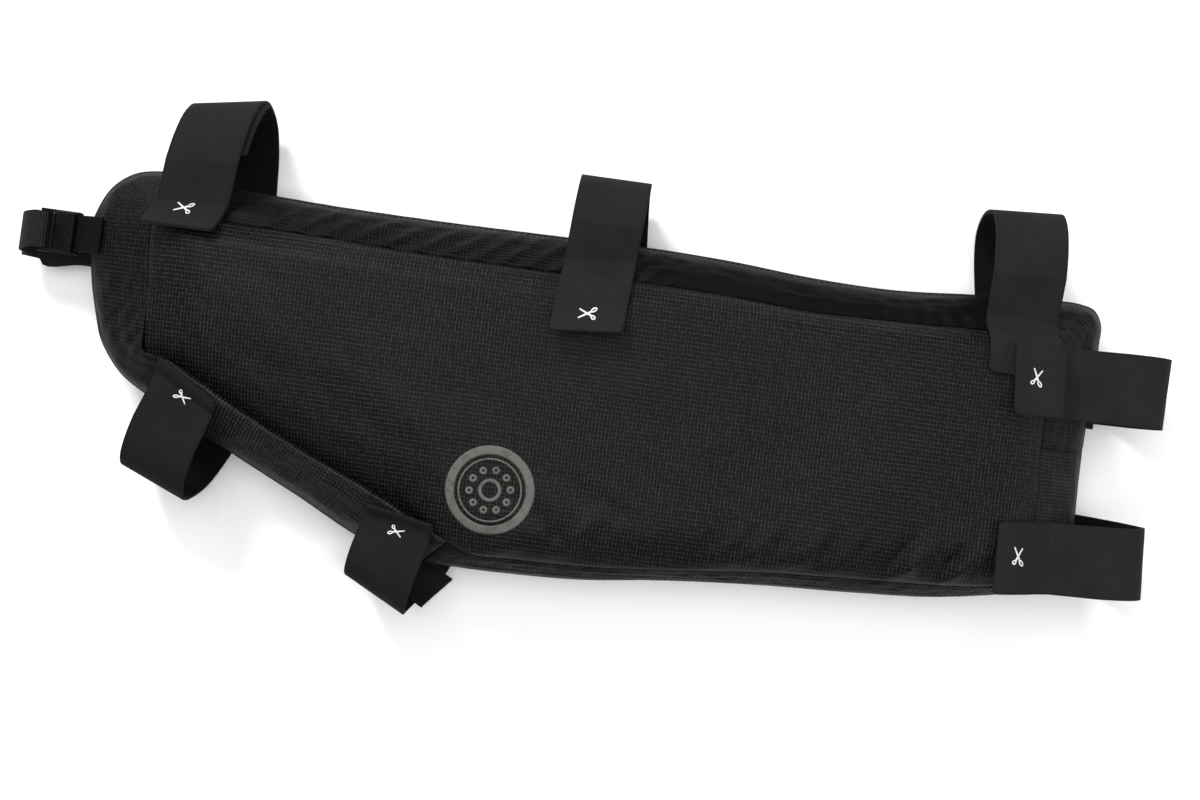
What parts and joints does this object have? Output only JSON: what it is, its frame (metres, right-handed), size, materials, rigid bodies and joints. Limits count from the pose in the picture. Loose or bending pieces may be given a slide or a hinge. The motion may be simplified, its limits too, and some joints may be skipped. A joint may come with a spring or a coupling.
{
  "type": "bicycle frame bag",
  "caption": "Slim black ripstop bicycle frame bag lying on its back, with looped hook-and-loop bands and a nose strap with a ladder-lock buckle.",
  "frame": {"origin": "on the surface it lies on, under the middle of its bounding box", "axes": "+X along the top edge towards the rear, +Y from the bottom edge to the top edge, +Z from the back panel to the front panel"},
  "size_m": [0.6334, 0.2664, 0.0692],
  "materials": {
    "ripstop": "matte black coated ripstop with a fine grid",
    "band": "matte black hook-and-loop band",
    "webbing": "ribbed black webbing",
    "plastic": "moulded black plastic"
  },
  "bodies": {
    "root": {"front_panel": "ripstop", "back_panel": "ripstop", "nose_gusset": "ripstop", "top_gusset": "ripstop", "rear_gusset": "ripstop", "bottom_gusset": "ripstop", "lower_gusset": "ripstop", "strap_top_nose": "band", "strap_top_middle": "band", "strap_top_rear": "band", "strap_rear_upper": "band", "strap_rear_lower": "band", "strap_lower_nose": "band", "strap_lower_middle": "band", "nose_tab": "webbing", "nose_strap": "webbing", "nose_buckle": "plastic"}
  },
  "joints": []
}
